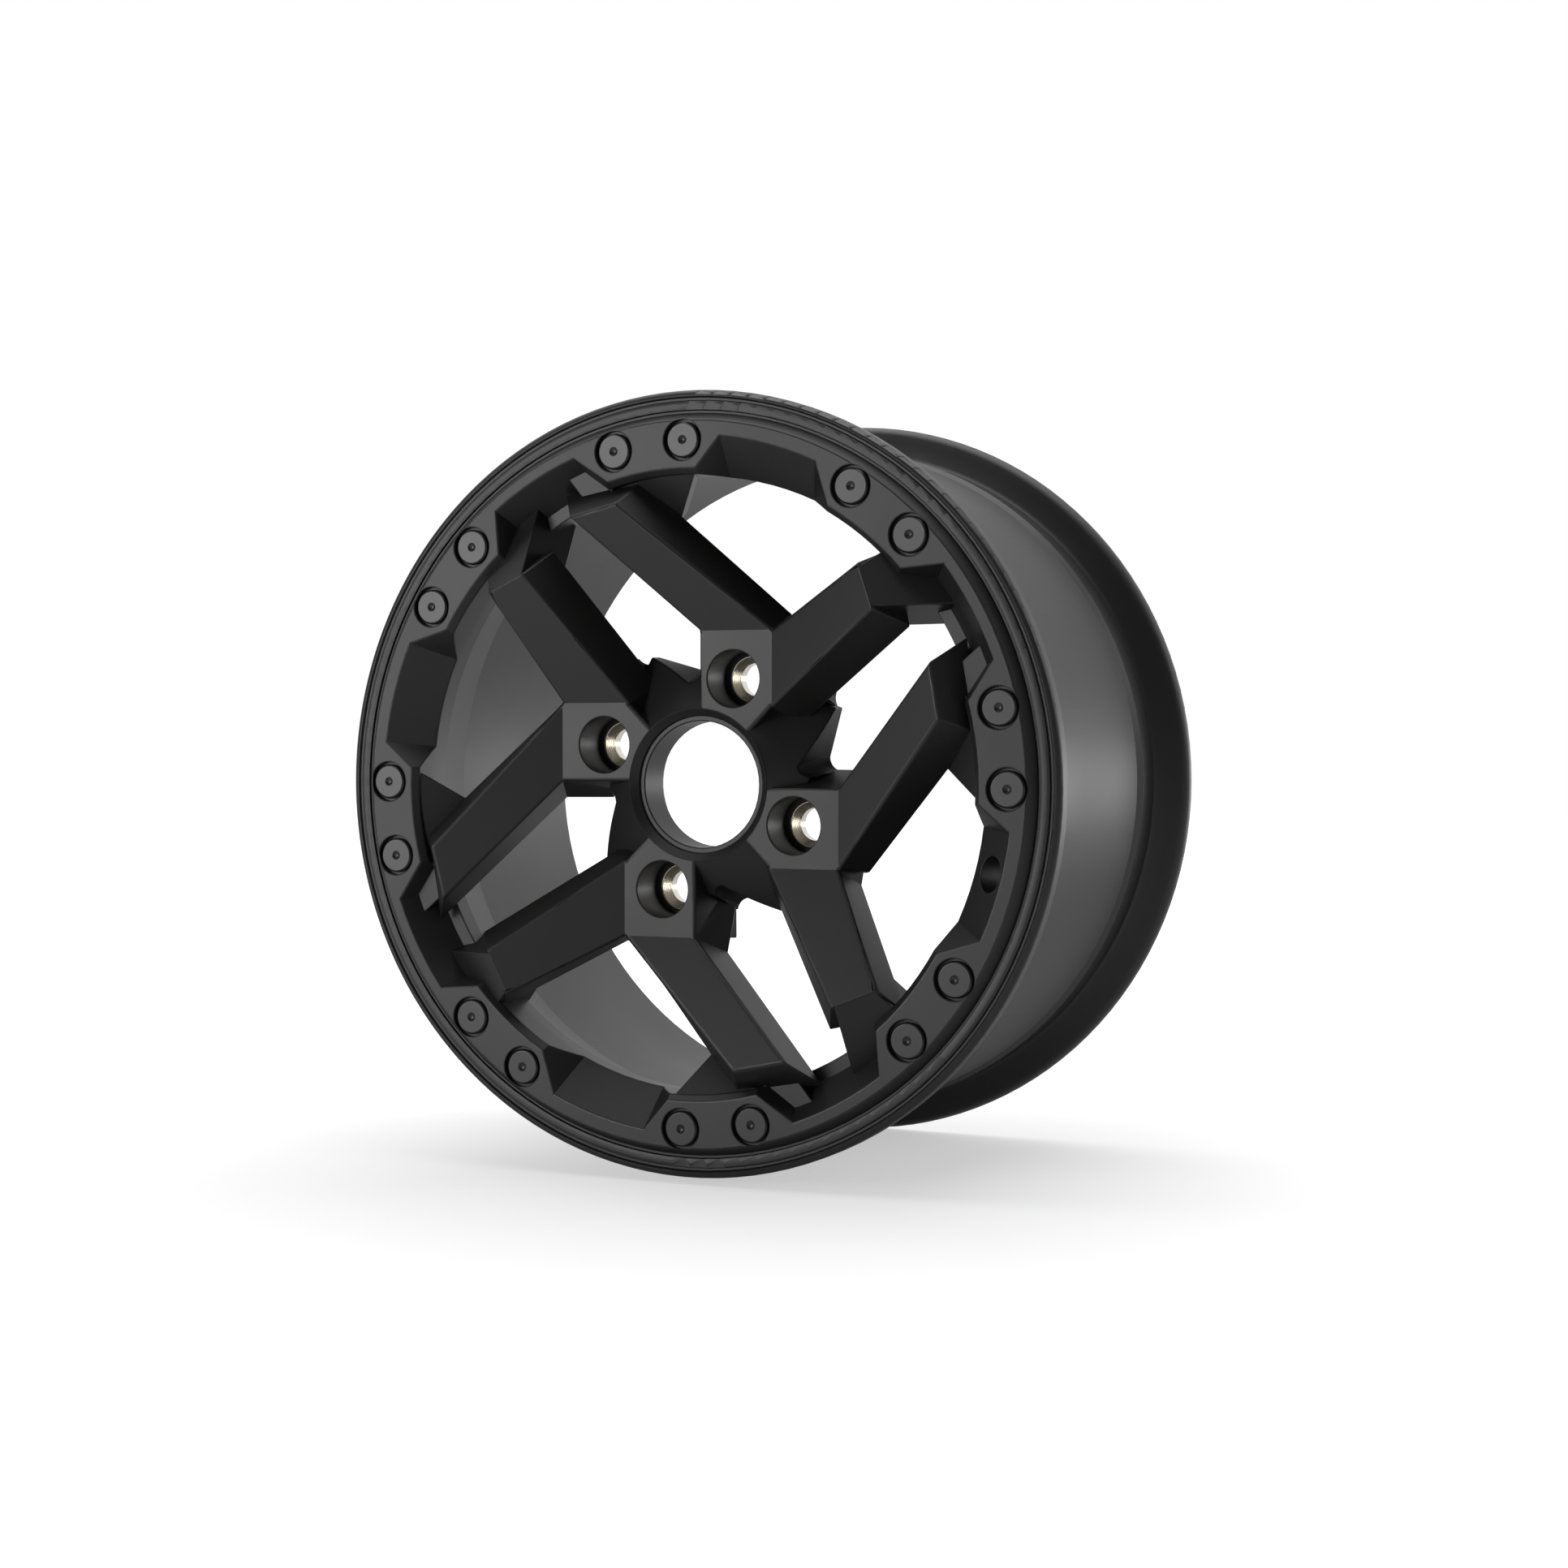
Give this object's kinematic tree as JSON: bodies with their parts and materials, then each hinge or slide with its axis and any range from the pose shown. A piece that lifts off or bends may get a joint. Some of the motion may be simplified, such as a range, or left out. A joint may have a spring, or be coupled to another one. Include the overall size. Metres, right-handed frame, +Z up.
{
  "type": "alloy wheel",
  "caption": "Cast off-road wheel in satin black with forked pinwheel spokes, a stepped lip, an outer ring carrying paired screw heads, and plated lug seats round an open hub bore.",
  "frame": {"origin": "on the wheel's axis at the mounting face, the centre of the lug circle", "axes": "+Y along the wheel's axis towards the vehicle, the street face looks along -Y, +Z up"},
  "size_m": [0.386, 0.2217, 0.386],
  "materials": {
    "casting": "satin black powder coat on cast aluminium",
    "screws": "satin black coated steel",
    "bush": "bright nickel-plated steel"
  },
  "bodies": {
    "root": {"wheel_casting": "casting", "ring_screws": "screws", "lug_seat_bush_1": "bush", "lug_seat_bush_2": "bush", "lug_seat_bush_3": "bush", "lug_seat_bush_4": "bush"}
  },
  "joints": []
}
